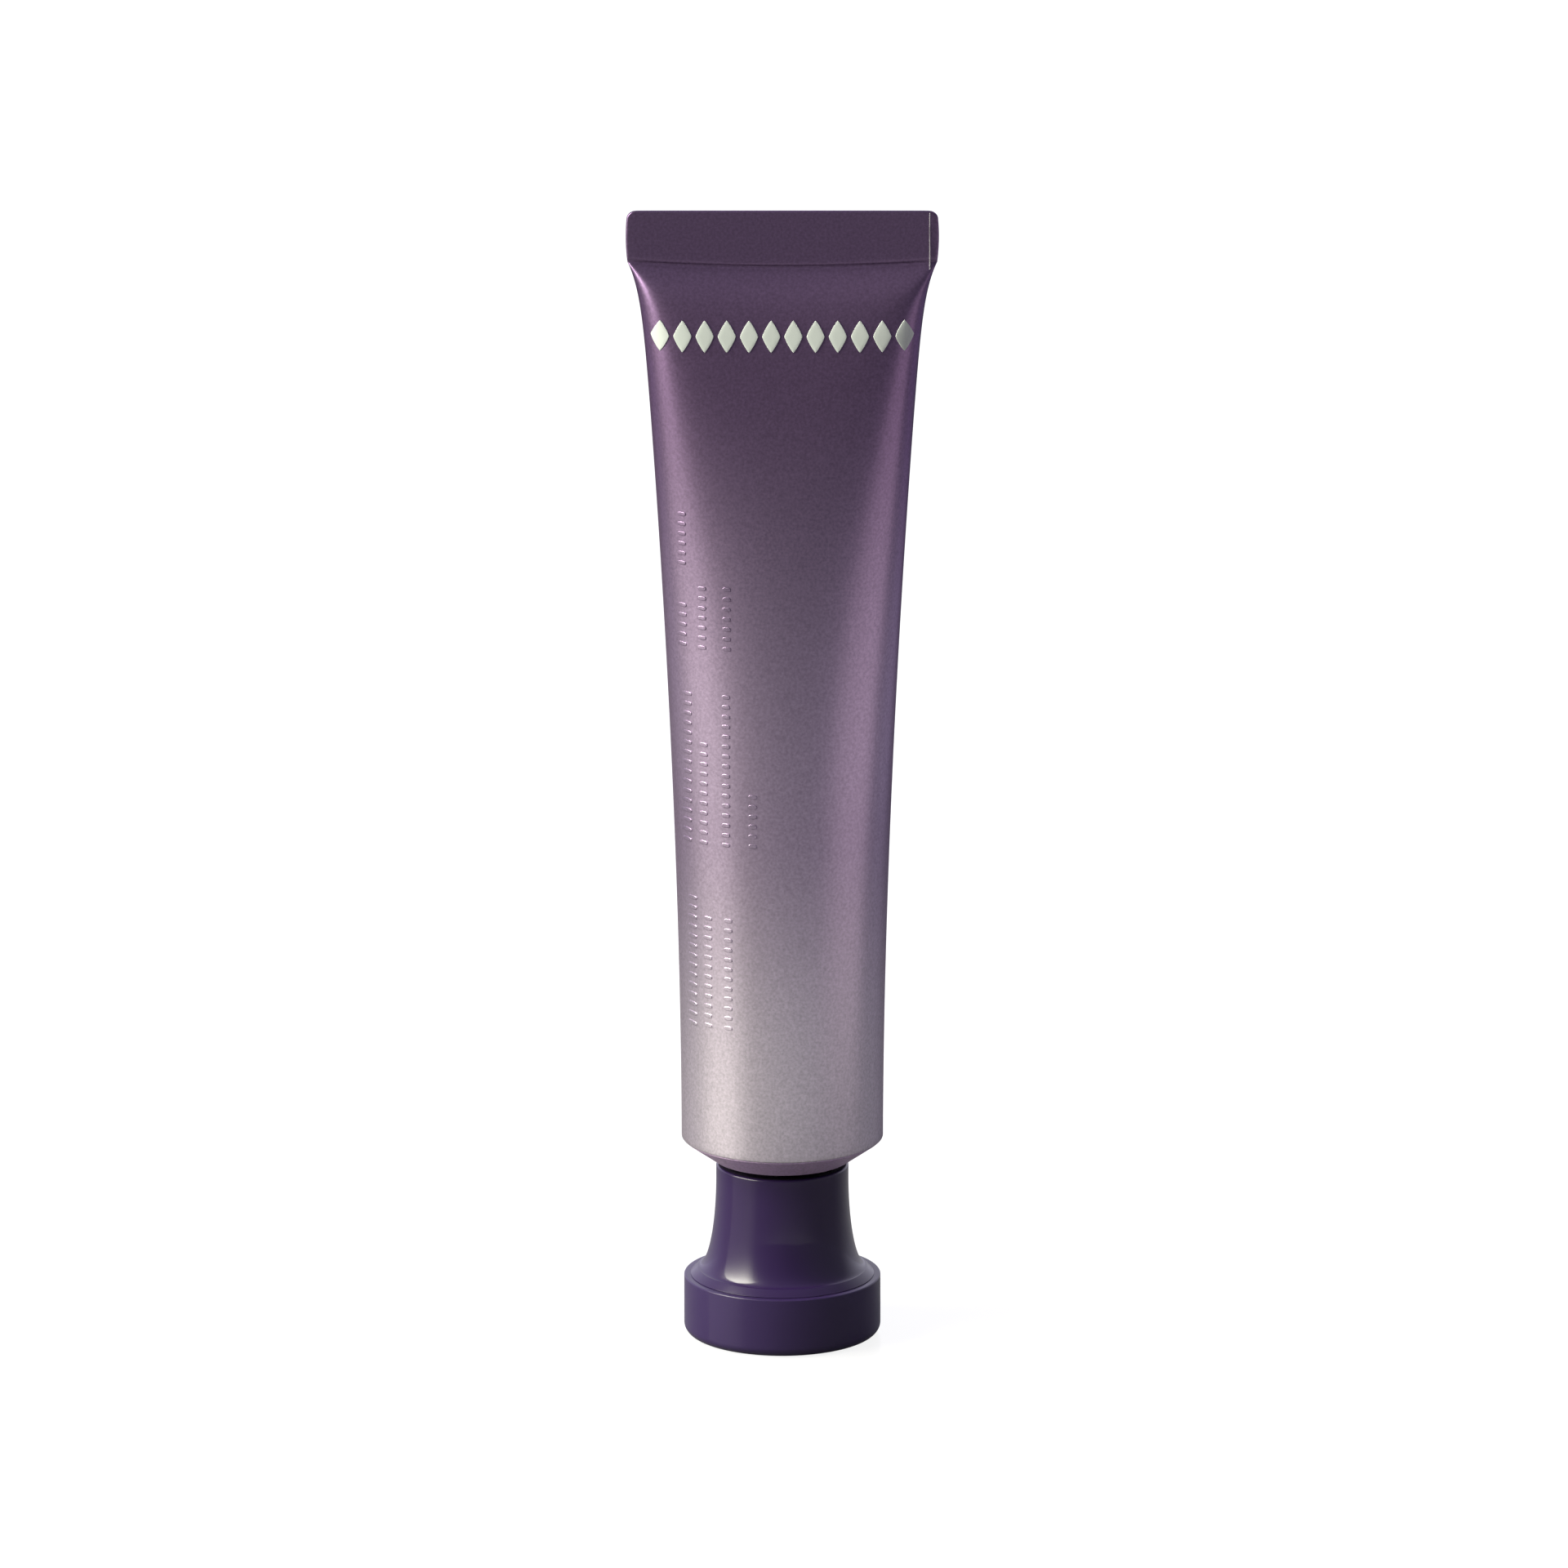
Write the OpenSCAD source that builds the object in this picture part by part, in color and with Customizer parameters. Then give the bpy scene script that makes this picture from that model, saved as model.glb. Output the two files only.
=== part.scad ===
// Hand cream tube that stands head down on its flared screw cap.
// Millimetres. Z is up along the tube, the flat end is on top and its width lies along X.
// The origin is the middle of the cap's underside.

/* [Sleeve] */
// Diameter of the sleeve's round end
sleeve_d = 28; // [25:0.5:32]
// Length of the sleeve from its cut edge at the shoulder to the top
sleeve_length = 132.9; // [110:0.1:150]
// Thickness of the sleeve's laminate
sleeve_wall = 0.4; // [0.3:0.05:0.6]
// Rounding of the sleeve's cut edge
sleeve_edge = 0.2; // [0.05:0.05:0.25]
// How much deeper the filled sleeve is at its middle than an empty one
belly = 1.2; // [0:0.1:2]

/* [Flat end] */
// Height of the welded band
seal_height = 7.2; // [5:0.1:10]
// Thickness of the welded band
seal_thickness = 0.8; // [0.5:0.1:1.2]
// Radius of the band's upper corners
seal_corner = 1; // [0.5:0.1:2]
// How far the band's sides bow outwards
seal_bow = 0.23; // [0:0.01:0.5]
// How far each side of the band stays inside the flattened girth
seal_shrink = 0.36; // [0.2:0.01:0.8]
// Widening of each side just under the band
corner_flare = 1.53; // [0:0.01:2]
// Length over which that widening dies away
flare_reach = 3.9; // [2:0.1:6]
// Length over which the two walls part under the band
parting_reach = 1.2; // [0.5:0.1:3]

/* [Head] */
// Height of the conical shoulder
shoulder_drop = 3.1; // [2:0.1:5]
// Diameter of the flat land under the shoulder
land_d = 19; // [16:0.5:20]
// Wall of the shoulder
shoulder_wall = 1.2; // [0.8:0.1:1.6]
// Width of the ledge that the sleeve's cut edge sits on
shoulder_ledge = 0.3; // [0.1:0.05:0.4]
// How far the shoulder's rim is welded up into the sleeve
weld_depth = 2; // [1.5:0.1:4]
// Diameter of the neck over its thread
neck_d = 11; // [10:0.1:12]
// Length of the neck below the land
neck_length = 9.6; // [8:0.1:11]
// Chamfer at the neck's mouth
neck_chamfer = 0.4; // [0.2:0.1:0.8]
// Bore of the neck
neck_bore_d = 7; // [5:0.1:8]
// Orifice in the neck's mouth
orifice_d = 4; // [2:0.1:4.8]
// Thickness of the lip round the orifice
lip_thickness = 1.2; // [0.8:0.1:2]
// Diameter of the foil over the mouth
foil_d = 9.4; // [7:0.1:9.6]
// Thickness of the foil
foil_thickness = 0.15; // [0.1:0.05:0.3]

/* [Cap] */
// Height of the cap's upper rim above the table
cap_height = 24.4; // [22:0.1:28]
// Gap between the rim and the shoulder's land
rim_gap = 0.8; // [0.5:0.1:1.5]
// Diameter of the straight part of the stem
stem_d = 18.4; // [17:0.1:20]
// Height of the straight part under the rim
stem_straight = 1.9; // [1:0.1:4]
// Wall of the stem
stem_wall = 1.2; // [0.8:0.1:1.5]
// Rounding of the rim's outer edge
rim_round = 0.35; // [0.1:0.05:0.5]
// Diameter of the foot edge, where the flare ends
foot_d = 23.5; // [21:0.1:24.5]
// Height of the foot edge above the table
foot_height = 9.4; // [8.8:0.1:11]
// Wall of the skirt that is pressed into the base
skirt_wall = 1.2; // [0.8:0.1:1.6]
// Wall of the threaded socket
socket_wall = 1; // [0.8:0.1:1.2]
// How far the socket's end lies below the rim
socket_recess = 0.6; // [0.2:0.1:1.5]
// Thickness of the web that closes the socket
web_thickness = 1.2; // [0.8:0.1:2]
// Thickness of the sealing wad
liner_thickness = 1; // [0.5:0.1:1.5]

/* [Cap base] */
// Diameter of the base
base_d = 27.3; // [26.5:0.1:32]
// Height of the base
base_height = 8.4; // [6:0.1:8.6]
// Wall of the base, which shows as the flat ring round the stem
base_wall = 1.08; // [0.8:0.01:1.4]
// Floor of the base
base_floor = 1.6; // [1.2:0.1:2.5]
// Rounding of the base's lower edge
base_round = 1.4; // [0.5:0.1:2]
// Rounding of the base's upper edge
base_edge = 0.2; // [0.1:0.05:0.4]
// Diameter of the shallow recess in the underside
recess_d = 19; // [12:0.5:21]
// Depth of that recess
recess_depth = 0.4; // [0.2:0.1:0.8]

/* [Fits] */
// Clearance between neck and socket, on the radius
thread_clearance = 0.1; // [0.05:0.01:0.2]
// Clearance of the wad in its socket, on the radius
liner_clearance = 0.1; // [0.05:0.01:0.2]
// Clearance between the skirt and the base, on the radius
skirt_clearance = 0.03; // [0.01:0.01:0.08]
// Clearance of the weld between sleeve, cream and head, on the radius
weld_clearance = 0.03; // [0.02:0.01:0.06]

/* [Hidden] */
$fn = 96;

// Facets round the sleeve, its rings below the band, rings in the band, and steps in an arc
around = 60;
body_rings = 32;
band_rings = 8;
arc_steps = 6;
flare_steps = 14;

sleeve_r = sleeve_d / 2;
land_r = land_d / 2;
neck_r = neck_d / 2;
stem_r = stem_d / 2;
foot_r = foot_d / 2;
base_r = base_d / 2;
socket_r = neck_r + thread_clearance;
base_bore_r = base_r - base_wall;
skirt_r = base_bore_r - skirt_clearance;

// Heights, worked out upwards from the table
land_z = cap_height + rim_gap;
tip_z = land_z - neck_length;
liner_z = tip_z - foil_thickness - liner_thickness;
web_z = liner_z - web_thickness;
flare_z = cap_height - stem_straight;
sleeve_z = land_z + shoulder_drop;
weld_z = sleeve_z + weld_depth;
top_z = sleeve_z + sleeve_length;
band_z = top_z - seal_height;

// The shoulder's rim inside the sleeve, and the slope of its cone
rim_r = sleeve_r - sleeve_wall;
ledge_r = rim_r + shoulder_ledge;
rim_inner_r = rim_r - shoulder_wall;
cone_angle = atan(shoulder_drop / (ledge_r - land_r));
cone_rise = shoulder_wall / cos(cone_angle);

// Flattened, the girth is twice the band's width, so half the band is a quarter of the girth
flat_half = PI * sleeve_r / 2;
band_half = flat_half - seal_shrink;
band_foot_half = band_half - seal_bow;

function tanh(x) = (exp(2 * x) - 1) / (exp(2 * x) + 1);

// Points of an arc round a centre, from one angle to another
function arc(centre, r, from, to, steps = arc_steps) =
    [for (i = [0:steps]) let (a = from + (to - from) * i / steps)
        centre + r * [cos(a), sin(a)]];

// Share of the way from the sleeve's cut edge to the band
function height_share(z) = min(1, max(0, (z - sleeve_z) / (band_z - sleeve_z)));

// Drop of the band's rounded upper corner at a height
function corner_inset(z) = let (d = z - (top_z - seal_corner))
    d <= 0 ? 0 : seal_corner - sqrt(max(0, pow(seal_corner, 2) - d * d));

// Half the sleeve's width: a slow widening, then a quick flare under the band's corners
function half_width(z) = z >= band_z
    ? band_half - seal_bow * pow(2 * (z - band_z) / seal_height - 1, 2) - corner_inset(z)
    : sleeve_r + (band_foot_half - sleeve_r - corner_flare) * pow(height_share(z), 1.75)
        + corner_flare * exp((z - band_z) / flare_reach);

// Half the depth of an empty sleeve of that width: its girth stays that of the round end
function empty_depth(z) = (flat_half - half_width(z)) / (PI / 2 - 1);

// Half the sleeve's depth: the cream's belly is added, and the walls meet at the band
function half_depth(z) = z >= band_z ? seal_thickness / 2
    : seal_thickness / 2 + (1 - exp((z - band_z) / parting_reach))
        * (min(sleeve_r, empty_depth(z) + belly * sin(180 * pow(height_share(z), 1.5)))
            - seal_thickness / 2);

// How flat the front is: low gives an ellipse, high two flat walls with round sides
function flatness(z) = 0.4 + 4.5 * pow(height_share(z), 4);

// One ring of the sleeve: a circle of the half depth, drawn apart sideways
function sleeve_ring(z) = let (a = half_width(z), b = half_depth(z), k = flatness(z))
    [for (i = [0:around - 1]) let (t = 360 * i / around)
        [b * cos(t) + (a - b) * tanh(k * cos(t)) / tanh(k), b * sin(t), z]];

function round_ring(p) = [for (i = [0:around - 1]) let (t = 360 * i / around)
    [p[0] * cos(t), p[0] * sin(t), p[1]]];

// Inside of the head as radius and height, from its rim down to the mouth, c smaller all round
function head_inside(c) = [
    [rim_inner_r - c, weld_z],
    [rim_inner_r - c, land_z + (rim_inner_r - land_r) * tan(cone_angle) + cone_rise],
    [land_r - (cone_rise - shoulder_wall) / tan(cone_angle) - c, land_z + shoulder_wall],
    [neck_bore_d / 2 - c, land_z + shoulder_wall],
    [neck_bore_d / 2 - c, tip_z + lip_thickness],
    [orifice_d / 2 - c, tip_z + lip_thickness],
    [orifice_d / 2 - c, tip_z]
];

// Heights of the sleeve's rings, closer together towards the band, then those of the band
body_heights = [for (i = [0:body_rings - 1]) let (s = i / body_rings)
    sleeve_z + sleeve_edge + (band_z - sleeve_z - sleeve_edge) * (1 - pow(1 - s, 1.7))];
band_heights = concat(
    [for (i = [0:band_rings - 4]) band_z + (seal_height - seal_corner) * i / (band_rings - 4)],
    [for (a = [30, 60, 80, 90]) top_z - seal_corner + seal_corner * sin(a)]);

// A closed solid through rings that all have the same number of points
module ring_solid(rings) {
    n = len(rings[0]);
    last = len(rings) - 1;
    points = [for (ring = rings) each ring];
    walls = [for (j = [0:last - 1], i = [0:n - 1]) each [
        [j * n + i, (j + 1) * n + i, (j + 1) * n + (i + 1) % n],
        [j * n + i, (j + 1) * n + (i + 1) % n, j * n + (i + 1) % n]]];
    ends = [[for (i = [0:n - 1]) i], [for (i = [n - 1:-1:0]) last * n + i]];
    polyhedron(points, concat(walls, ends));
}

// Laminate sleeve with its cream, which fills the head down to the foil
module tube_sleeve() {
    recess_r = rim_r + weld_clearance;
    lower = concat([for (p = head_inside(weld_clearance)) p]);
    inner = [for (i = [len(lower) - 1:-1:0]) round_ring(lower[i])];
    edge = [for (p = [[recess_r, weld_z], [recess_r, sleeve_z], [sleeve_r - sleeve_edge, sleeve_z]])
        round_ring(p)];
    outer = [for (z = concat(body_heights, band_heights)) sleeve_ring(z)];
    color([0.56, 0.50, 0.56]) ring_solid(concat(inner, edge, outer));
}

// Moulded shoulder and neck, whose thread lies within the neck's diameter
module tube_head() {
    outside = [
        [neck_r - neck_chamfer, tip_z],
        [neck_r, tip_z + neck_chamfer],
        [neck_r, land_z],
        [land_r, land_z],
        [ledge_r, sleeve_z],
        [rim_r, sleeve_z],
        [rim_r, weld_z]
    ];
    color([0.66, 0.62, 0.66]) rotate_extrude() polygon(concat(outside, head_inside(0)));
}

// Peel-off foil on the neck's mouth
module nozzle_foil() {
    color([0.80, 0.80, 0.82]) translate([0, 0, tip_z - foil_thickness])
        cylinder(d = foil_d, h = foil_thickness);
}

// Radius and height of the flare, an upright quarter of an ellipse that ends in the foot edge
function flare_point(a) = [stem_r + (foot_r - stem_r) * (1 - cos(a)),
    flare_z - (flare_z - foot_height) * sin(a)];

// Flared stem with its skirt, its socket for the neck and the web between them
module cap_stem() {
    web_angle = asin((flare_z - web_z) / (flare_z - foot_height));
    flare_outside = [for (i = [flare_steps:-1:0]) flare_point(90 * i / flare_steps)];
    flare_inside = [for (i = [0:flare_steps])
        flare_point(web_angle + (90 - web_angle) * i / flare_steps) - [stem_wall, 0]];
    profile = concat(
        [[skirt_r, base_floor], [skirt_r, base_height]],
        flare_outside,
        arc([stem_r - rim_round, cap_height - rim_round], rim_round, 0, 90),
        [
            [stem_r - stem_wall, cap_height],
            [stem_r - stem_wall, liner_z],
            [socket_r + socket_wall, liner_z],
            [socket_r + socket_wall, cap_height - socket_recess],
            [socket_r, cap_height - socket_recess],
            [socket_r, liner_z],
            [0, liner_z],
            [0, web_z]
        ],
        flare_inside,
        [[skirt_r - skirt_wall, base_height], [skirt_r - skirt_wall, base_floor]]);
    color([0.17, 0.12, 0.18]) rotate_extrude() polygon(profile);
}

// Cup that closes the cap below, open upwards round the skirt
module cap_base() {
    profile = concat(
        [[0, recess_depth], [recess_d / 2, recess_depth], [recess_d / 2 + recess_depth, 0]],
        arc([base_r - base_round, base_round], base_round, -90, 0),
        arc([base_r - base_edge, base_height - base_edge], base_edge, 0, 90),
        [[base_bore_r, base_height], [base_bore_r, base_floor], [0, base_floor]]);
    color([0.15, 0.11, 0.16]) rotate_extrude() polygon(profile);
}

// Sealing wad on the web
module cap_liner() {
    color([0.93, 0.92, 0.90]) translate([0, 0, liner_z])
        cylinder(r = socket_r - liner_clearance, h = liner_thickness);
}

tube_sleeve();
tube_head();
nozzle_foil();
cap_stem();
cap_base();
cap_liner();
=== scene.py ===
"""Looks of a hand cream tube that stands head down on its flared screw cap.

Lengths are metres, Z is up along the tube and the front faces -Y. New pieces are surfaces worked out
with numpy: rings of points round the Z axis, or small plates laid on the sleeve's front.
"""

import math

import bpy
import numpy as np
from bpy.props import FloatProperty, FloatVectorProperty, IntProperty, PointerProperty
from bpy.types import Operator, Panel, PropertyGroup
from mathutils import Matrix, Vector


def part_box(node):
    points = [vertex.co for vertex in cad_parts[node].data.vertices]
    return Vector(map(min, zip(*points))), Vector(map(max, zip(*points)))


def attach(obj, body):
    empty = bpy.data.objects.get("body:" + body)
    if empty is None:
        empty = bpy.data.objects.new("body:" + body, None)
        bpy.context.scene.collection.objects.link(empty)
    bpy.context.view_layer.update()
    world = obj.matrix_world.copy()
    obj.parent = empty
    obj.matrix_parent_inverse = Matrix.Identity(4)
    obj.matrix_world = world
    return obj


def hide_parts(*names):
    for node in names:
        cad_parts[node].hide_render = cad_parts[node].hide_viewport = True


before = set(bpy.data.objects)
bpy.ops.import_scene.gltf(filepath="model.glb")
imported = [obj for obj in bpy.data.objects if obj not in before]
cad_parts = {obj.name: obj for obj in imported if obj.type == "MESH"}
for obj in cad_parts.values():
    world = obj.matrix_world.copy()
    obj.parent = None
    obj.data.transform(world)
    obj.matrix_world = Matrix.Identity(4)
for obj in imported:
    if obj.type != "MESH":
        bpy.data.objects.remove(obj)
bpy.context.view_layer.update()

bl_info = {
    "name": "Hand cream tube",
    "version": (1, 0, 0),
    "blender": (4, 5, 0),
    "location": "View3D > Sidebar > Cream Tube",
    "description": "Builds the finish of a hand cream tube on its flared screw cap",
    "category": "Object",
}

MM = 0.001

# Corners of the solids' boxes, which give the sizes that the finish follows
SLEEVE_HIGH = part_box("tube_sleeve")[1]
HEAD_LOW, HEAD_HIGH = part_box("tube_head")
STEM_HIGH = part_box("cap_stem")[1]
BASE_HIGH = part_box("cap_base")[1]
LINER_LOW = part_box("cap_liner")[0]

# Powers of the height that give the sleeve's width, its belly and how flat its section is, and that
# flatness at the cut edge and what it gains up to the band
WIDTH_POWER = 1.75
BELLY_POWER = 1.5
FLATNESS_POWER = 4.6
FLATNESS_BELOW = 0.3
FLATNESS_GAIN = 4.8

# Rings on each stretch of a surface, and the power that draws the sleeve's rings towards the band
BAND_ROWS = 24
CORNER_ROWS = 12
EDGE_ROWS = 6
NECK_ROWS = 110
SOCKET_ROWS = 90
FLARE_ROWS = 72
HOLLOW_ROWS = 16
ROW_POWER = 1.5

# Small roundings and gaps of the mouldings, and the radius of the flat face that closes a pole
FINE_ROUND = 0.2 * MM
EDGE_ROUND = 0.3 * MM
RIM_ROUND = 0.35 * MM
SKIRT_GAP = 0.03 * MM
LIP_GAP = 0.04 * MM
POLE_RADIUS = 0.4 * MM

# Ends of the thread: how far it starts above the mouth, stops under the land and under the rim,
# and the share of its half width over which its flank slopes
THREAD_START = 0.6 * MM
THREAD_STOP_LAND = 1.6 * MM
THREAD_STOP_RIM = 0.8 * MM
FLANK_SHARE = 0.55


def length(name, description, default):
    """A length in metres for a property group, shown to a hundredth of a millimetre."""
    return FloatProperty(name=name, description=description, default=default,
                         unit="LENGTH", precision=5, min=0.0)


def colour(name, description, default):
    """A linear colour for a property group."""
    return FloatVectorProperty(name=name, description=description, default=default,
                               subtype="COLOR", size=3, min=0.0, max=1.0)


class SleeveSizes(PropertyGroup):
    """Sizes of the sleeve and its welded band."""
    radius: length("Round end", "Radius of the sleeve at the shoulder", SLEEVE_HIGH.y)
    edge_z: length("Cut edge", "Height of the sleeve's cut edge", HEAD_HIGH.z - 2 * MM)
    edge_round: length("Edge rounding", "Rounding of the cut edge", 0.25 * MM)
    wall: length("Wall", "Thickness of the laminate", 0.4 * MM)
    band_height: length("Band height", "Height of the welded band", 7.2 * MM)
    band_thickness: length("Band thickness", "Thickness of the welded band", 0.8 * MM)
    band_corner: length("Band corner", "Radius of the band's upper corners", 1.0 * MM)
    band_bow: length("Band bow", "How far the band's sides bow out", 0.23 * MM)
    band_sag: length("Band sag", "How much lower the band ends at its middle", 0.8 * MM)
    crease: length("Crease", "Depth of the crease under the band", 0.21 * MM)
    crease_reach: length("Crease reach", "Half the height of the crease", 0.35 * MM)
    flare: length("Corner flare", "Widening of each side under the band", 1.53 * MM)
    flare_reach: length("Flare reach", "Length over which it dies away", 3.9 * MM)
    parting: length("Parting", "Length over which the walls part", 1.2 * MM)
    belly: length("Belly", "Extra depth of the filled sleeve", 1.2 * MM)
    around: IntProperty(name="Points round", description="Points in one ring", default=288, min=32)
    rows: IntProperty(name="Rows", description="Rings under the band", default=230, min=20)


class HeadSizes(PropertyGroup):
    """Sizes of the shoulder and the threaded neck."""
    land_z: length("Land", "Height of the flat land under the shoulder", 25.2 * MM)
    land_radius: length("Land radius", "Radius where the cone ends", 9.5 * MM)
    wall: length("Wall", "Wall of the shoulder", 1.2 * MM)
    neck_radius: length("Neck", "Radius of the neck over its thread", 5.5 * MM)
    bore_radius: length("Bore", "Radius of the neck's bore", 3.5 * MM)
    orifice_radius: length("Orifice", "Radius of the orifice", 2.0 * MM)
    lip: length("Lip", "Thickness of the lip round the orifice", 1.2 * MM)
    thread_depth: length("Thread depth", "Height of the thread's ridge", 0.45 * MM)
    thread_width: length("Thread width", "Width of the ridge at its foot", 1.1 * MM)
    thread_pitch: length("Pitch", "Rise of the thread in one turn", 2.5 * MM)


class CapSizes(PropertyGroup):
    """Sizes of the cap's stem and base."""
    stem_radius: length("Stem", "Radius of the straight part", 9.2 * MM)
    straight: length("Straight part", "Height of the straight part", 1.9 * MM)
    stem_wall: length("Stem wall", "Wall of the stem", 1.2 * MM)
    foot_radius: length("Foot edge", "Radius of the foot edge", 11.75 * MM)
    foot_z: length("Foot height", "Height of the foot edge", 9.4 * MM)
    foot_lip: length("Foot lip", "How far the foot covers the joint with the base", 0.25 * MM)
    skirt_wall: length("Skirt wall", "Wall of the skirt in the base", 1.2 * MM)
    socket_radius: length("Socket", "Radius of the threaded socket", 5.6 * MM)
    socket_wall: length("Socket wall", "Wall of the socket", 1.0 * MM)
    socket_recess: length("Socket recess", "Depth of its end under the rim", 0.6 * MM)
    web: length("Web", "Thickness of the web", 1.2 * MM)
    base_wall: length("Base wall", "Width of the flat ring round the stem", 1.08 * MM)
    base_floor: length("Base floor", "Floor of the base", 1.6 * MM)
    base_round: length("Lower rounding", "Rounding of the lower edge", 1.4 * MM)
    base_edge: length("Upper rounding", "Rounding of the upper edge", 0.2 * MM)
    recess_radius: length("Recess", "Radius of the recess in the underside", 9.5 * MM)
    recess_depth: length("Recess depth", "Depth of that recess", 0.4 * MM)
    around: IntProperty(name="Points round", description="Points in one ring", default=256, min=32)


class PrintSizes(PropertyGroup):
    """Sizes of the plain raised shapes on the front."""
    lozenge_count: IntProperty(name="Lozenges", description="Lozenges in the row", default=12, min=2)
    lozenge_width: length("Lozenge width", "Width of one lozenge", 2.5 * MM)
    lozenge_height: length("Lozenge height", "Height of one lozenge", 4.3 * MM)
    row_z: length("Row height", "Height of the row's middle", 144.6 * MM)
    row_half: length("Row half", "Half the width of the row over the sleeve", 18.1 * MM)
    rise: length("Lozenge rise", "How far a lozenge stands proud", 0.16 * MM)
    bead_length: length("Bead length", "Length of one small bead, across the tube", 1.15 * MM)
    bead_width: length("Bead width", "Width of one small bead, up the tube", 0.6 * MM)
    bead_pitch: length("Bead pitch", "Distance between two beads", 1.4 * MM)
    bead_rise: length("Bead rise", "How far a bead stands proud", 0.09 * MM)


class FinishColours(PropertyGroup):
    """Colours of the finishes."""
    sleeve_band: colour("Sleeve band", "Welded band", (0.152, 0.099, 0.184))
    sleeve_top: colour("Sleeve top", "Sleeve under the band", (0.175, 0.112, 0.206))
    sleeve_middle: colour("Sleeve middle", "Sleeve half way", (0.400, 0.317, 0.438))
    sleeve_foot: colour("Sleeve foot", "Sleeve at the shoulder", (0.790, 0.715, 0.810))
    lozenges: colour("Lozenges", "Pale lozenges of the row", (0.480, 0.520, 0.490))
    stem: colour("Stem", "Upper part of the cap", (0.026, 0.012, 0.062))
    base: colour("Base", "Lower part of the cap", (0.036, 0.020, 0.082))
    # Painted shade: the inside colour is a near-black put on the neck and in the socket, so that the
    # narrow gap between the shoulder and the cap reads dark
    inside: colour("Inside", "Shaded neck and socket", (0.016, 0.010, 0.026))
    wad: colour("Wad", "Sealing wad", (0.80, 0.79, 0.76))
    cut_edge: colour("Cut edge", "Cut edge of the laminate", (0.42, 0.40, 0.44))
    foil: colour("Foil", "Peel-off foil", (0.75, 0.75, 0.77))
    floor: colour("Floor", "Floor", (0.14, 0.14, 0.14))


class TubeSettings(PropertyGroup):
    """All the settings of the tube."""
    sleeve: PointerProperty(type=SleeveSizes)
    head: PointerProperty(type=HeadSizes)
    cap: PointerProperty(type=CapSizes)
    print_shapes: PointerProperty(type=PrintSizes)
    colours: PointerProperty(type=FinishColours)


# Surfaces

def ring_mesh(rings, looped=False):
    """Points and faces of a surface through rings, an array of rows by points by 3.

    Each point is joined to its neighbour in the ring and to the same point of the next row. The two
    end rings are closed with flat faces, or joined to each other where the surface is looped.
    """
    rows, around, _ = rings.shape
    index = np.arange(rows * around).reshape(rows, around)
    here = index if looped else index[:-1]
    above = np.roll(index, -1, axis=0) if looped else index[1:]
    quads = np.stack([here, np.roll(here, -1, axis=1), np.roll(above, -1, axis=1), above], axis=-1)
    faces = quads.reshape(-1, 4).tolist()
    if not looped:
        faces += [index[0, ::-1].tolist(), index[-1].tolist()]
    return rings.reshape(-1, 3), faces


def outward(points, faces):
    """The same faces, turned about if the volume that they enclose comes out negative.

    The volume is the sum over triangles of the triple product of their corners, divided by six.
    """
    fans = np.array([(f[0], f[i], f[i + 1]) for f in faces for i in range(1, len(f) - 1)])
    a, b, c = points[fans[:, 0]], points[fans[:, 1]], points[fans[:, 2]]
    volume = np.einsum("ij,ij->i", a, np.cross(b, c)).sum() / 6
    return faces if volume > 0 else [f[::-1] for f in faces]


def add_piece(name, parts, material, body, sharp=35.0):
    """Makes one object from a list of closed surfaces and lets it ride on a body."""
    points, faces, start = [], [], 0
    for part_points, part_faces in parts:
        faces += [[start + i for i in f] for f in outward(part_points, part_faces)]
        points.append(part_points)
        start += len(part_points)
    mesh = bpy.data.meshes.new(name)
    mesh.from_pydata(np.concatenate(points).tolist(), [], faces)
    mesh.polygons.foreach_set("use_smooth", np.ones(len(mesh.polygons), bool))
    mesh.set_sharp_from_angle(angle=math.radians(sharp))
    mesh.update()
    mesh.materials.append(material)
    piece = bpy.data.objects.new(name, mesh)
    bpy.context.scene.collection.objects.link(piece)
    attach(piece, body)
    return piece


def paint_shade_inside(piece, material, radius, low, high):
    """Gives the faces within a radius of the axis and between two heights a second material: the
    near-black painted shade of faces that lie in the gap's shadow.
    """
    piece.data.materials.append(material)
    polygons = piece.data.polygons
    centres = np.empty(3 * len(polygons), np.float32)
    polygons.foreach_get("center", centres)
    x, y, z = centres.reshape(-1, 3).T
    inside = (np.hypot(x, y) < radius) & (z > low) & (z < high)
    polygons.foreach_set("material_index", inside.astype(np.int32))


def rounded_profile(corners, steps=8):
    """Radius and height along an outline whose corners are rounded.

    A corner is (radius, height, rounding). Its arc touches both sides at the distance rounding over
    the tangent of half the corner's angle, and is swept about the point where the normals meet.
    """
    corners = np.array(corners, float)
    out = []
    for i, (x, y, rounding) in enumerate(corners):
        here = np.array([x, y])
        if rounding <= 0 or i in (0, len(corners) - 1):
            out.append(here[None])
            continue
        before, after = corners[i - 1, :2] - here, corners[i + 1, :2] - here
        before, after = before / np.linalg.norm(before), after / np.linalg.norm(after)
        half = math.acos(np.clip(before @ after, -1, 1)) / 2
        reach = rounding / math.tan(half)
        first, last = here + before * reach, here + after * reach
        middle = (before + after) / np.linalg.norm(before + after)
        centre = here + middle * rounding / math.sin(half)
        share = np.linspace(0, 1, steps + 1)[:, None]
        chord = first + (last - first) * share - centre
        out.append(centre + rounding * chord / np.linalg.norm(chord, axis=1)[:, None])
    return np.concatenate(out)


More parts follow.
